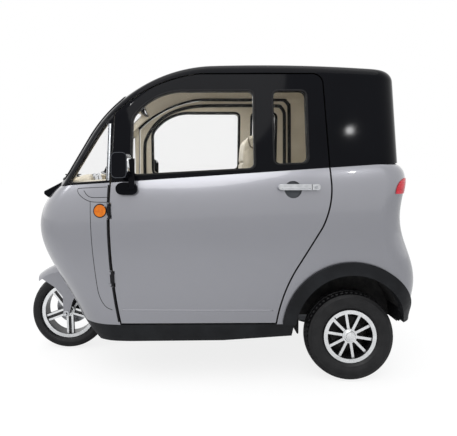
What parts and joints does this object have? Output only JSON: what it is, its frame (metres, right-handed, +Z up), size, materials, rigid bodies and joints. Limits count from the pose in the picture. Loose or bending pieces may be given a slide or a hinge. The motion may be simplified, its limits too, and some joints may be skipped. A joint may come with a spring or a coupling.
{
  "type": "electric microcar",
  "caption": "Closed electric microcar with a fork-steered front wheel, a driven rear axle, front-hinged doors and a rear bench behind the driver's seat.",
  "frame": {"origin": "on the floor under the middle of the car's length and width", "axes": "+X forward, +Y to the car's left, +Z up"},
  "size_m": [2.1896, 1.39, 1.69],
  "materials": {
    "body_silver": "metallic clear coat",
    "trim_black": "gloss",
    "plain_black": "fine grain",
    "clear_glass": "clear",
    "frame_steel": "black chassis paint",
    "bright_steel": "brushed",
    "handle_chrome": "polished",
    "cast_alloy": "cast, silver lacquer",
    "tyre_rubber": "matt",
    "seat_leather": "grained, cream",
    "cabin_lining": "fine grain",
    "battery_case": "fine grain",
    "motor_case": "cast",
    "red_lens": "clear lens",
    "amber_lens": "clear lens",
    "white_lens": "clear lens"
  },
  "bodies": {
    "chassis": {"fender_left": "body_silver", "fender_right": "body_silver", "nose_panel": "body_silver", "quarter_left": "body_silver", "quarter_right": "body_silver", "tail_panel": "body_silver", "rear_bumper": "trim_black", "arch_flares": "trim_black", "side_sills": "trim_black", "roof": "trim_black", "rear_upper": "trim_black", "cowl_lip": "trim_black", "windscreen": "clear_glass", "rear_window": "clear_glass", "triangle_glass": "clear_glass", "door_hinges": "bright_steel", "side_markers": "amber_lens", "tail_lamps": "red_lens", "headlamps": "white_lens", "floor_pan": "plain_black", "rear_deck": "plain_black", "dashboard": "cabin_lining", "frame_rails": "frame_steel", "cross_members": "frame_steel", "steering_head": "frame_steel", "rear_axle": "frame_steel", "rear_suspension": "frame_steel", "drive_motor": "motor_case", "battery_box": "battery_case", "seat_cushion": "seat_leather", "seat_back": "seat_leather", "bench_cushion": "seat_leather", "bench_back": "seat_leather"},
    "door_left": {"door_panel_left": "body_silver", "door_frame_left": "trim_black", "door_glass_left": "clear_glass", "door_handle_left": "handle_chrome", "door_mirror_left": "trim_black"},
    "door_right": {"door_panel_right": "body_silver", "door_frame_right": "trim_black", "door_glass_right": "clear_glass", "door_handle_right": "handle_chrome", "door_mirror_right": "trim_black"},
    "steering": {"front_fork": "frame_steel", "front_mudguard": "body_silver", "handlebar": "frame_steel"},
    "front_wheel": {"front_tyre": "tyre_rubber", "front_rim": "cast_alloy"},
    "rear_wheel_left": {"rear_tyre_left": "tyre_rubber", "rear_rim_left": "cast_alloy"},
    "rear_wheel_right": {"rear_tyre_right": "tyre_rubber", "rear_rim_right": "cast_alloy"}
  },
  "joints": [
    {"name": "left_door_hinge", "type": "hinge", "parent": "chassis", "child": "door_left", "pos_m": [0.484, 0.549, 0.56], "axis": [-0.0558, 0.0117, -0.9984], "range_deg": [0, 65]},
    {"name": "right_door_hinge", "type": "hinge", "parent": "chassis", "child": "door_right", "pos_m": [0.484, -0.549, 0.56], "axis": [0.0558, 0.0117, 0.9984], "range_deg": [0, 65]},
    {"name": "steer", "type": "hinge", "parent": "chassis", "child": "steering", "pos_m": [0.83239, 0, 0.22624], "axis": [-0.2419, 0, 0.9703], "range_deg": [-35, 35]},
    {"name": "front_wheel_spin", "type": "hinge", "parent": "steering", "child": "front_wheel", "pos_m": [0.8615, 0, 0.2335], "axis": [0, 1, 0], "continuous": true},
    {"name": "left_rear_wheel_spin", "type": "hinge", "parent": "chassis", "child": "rear_wheel_left", "pos_m": [-0.7385, 0.411, 0.2335], "axis": [0, 1, 0], "continuous": true},
    {"name": "right_rear_wheel_spin", "type": "hinge", "parent": "chassis", "child": "rear_wheel_right", "pos_m": [-0.7385, -0.411, 0.2335], "axis": [0, 1, 0], "continuous": true}
  ]
}
